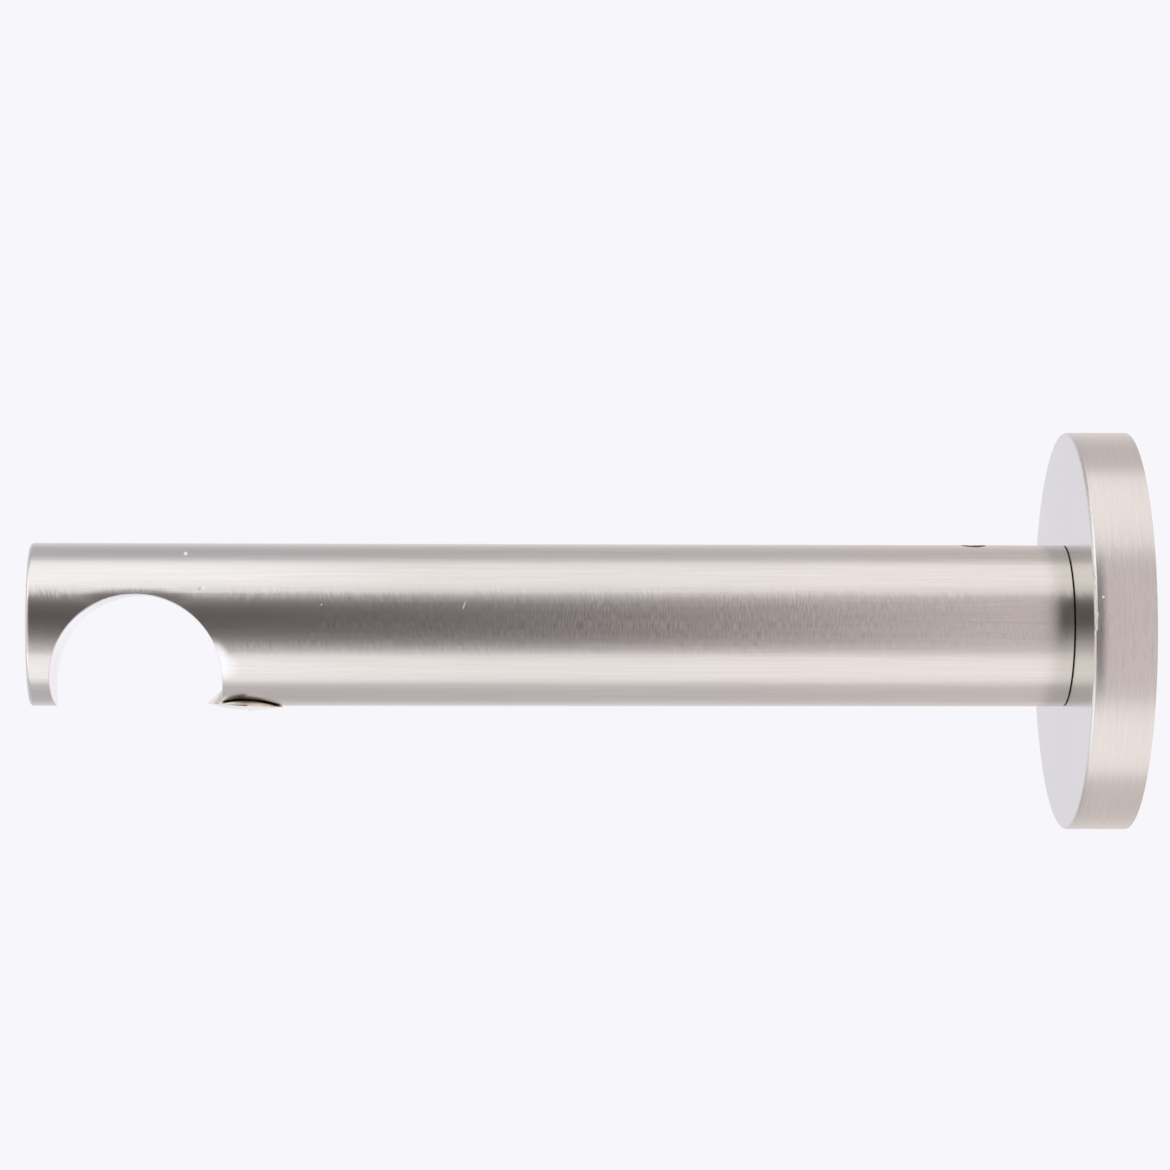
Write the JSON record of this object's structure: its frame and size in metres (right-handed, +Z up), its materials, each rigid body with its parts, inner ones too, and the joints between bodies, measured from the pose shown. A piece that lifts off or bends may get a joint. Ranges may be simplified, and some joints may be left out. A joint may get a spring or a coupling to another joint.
{
  "type": "curtain pole bracket",
  "caption": "Round bar curtain pole bracket on a round wall plate, with an open pole seat near its free end, a screw that traps the pole and a grub screw that locks the arm.",
  "frame": {"origin": "centre of the wall plate's back face, where it meets the wall", "axes": "+X into the wall along the arm's axis, Y along the pole, +Z up as in the picture, so the pole seat opens to -Z; hung on a wall the bracket is turned half a turn about X, so that the seat opens upwards"},
  "size_m": [0.1353, 0.0492, 0.0492],
  "materials": {
    "satin_nickel": "brushed satin nickel plate",
    "bright_nickel": "bright nickel plate",
    "black_steel": "black oxide"
  },
  "bodies": {
    "root": {"bracket_arm": "satin_nickel", "wall_plate": "satin_nickel", "pole_screw": "bright_nickel", "grub_screw": "black_steel"}
  },
  "joints": []
}
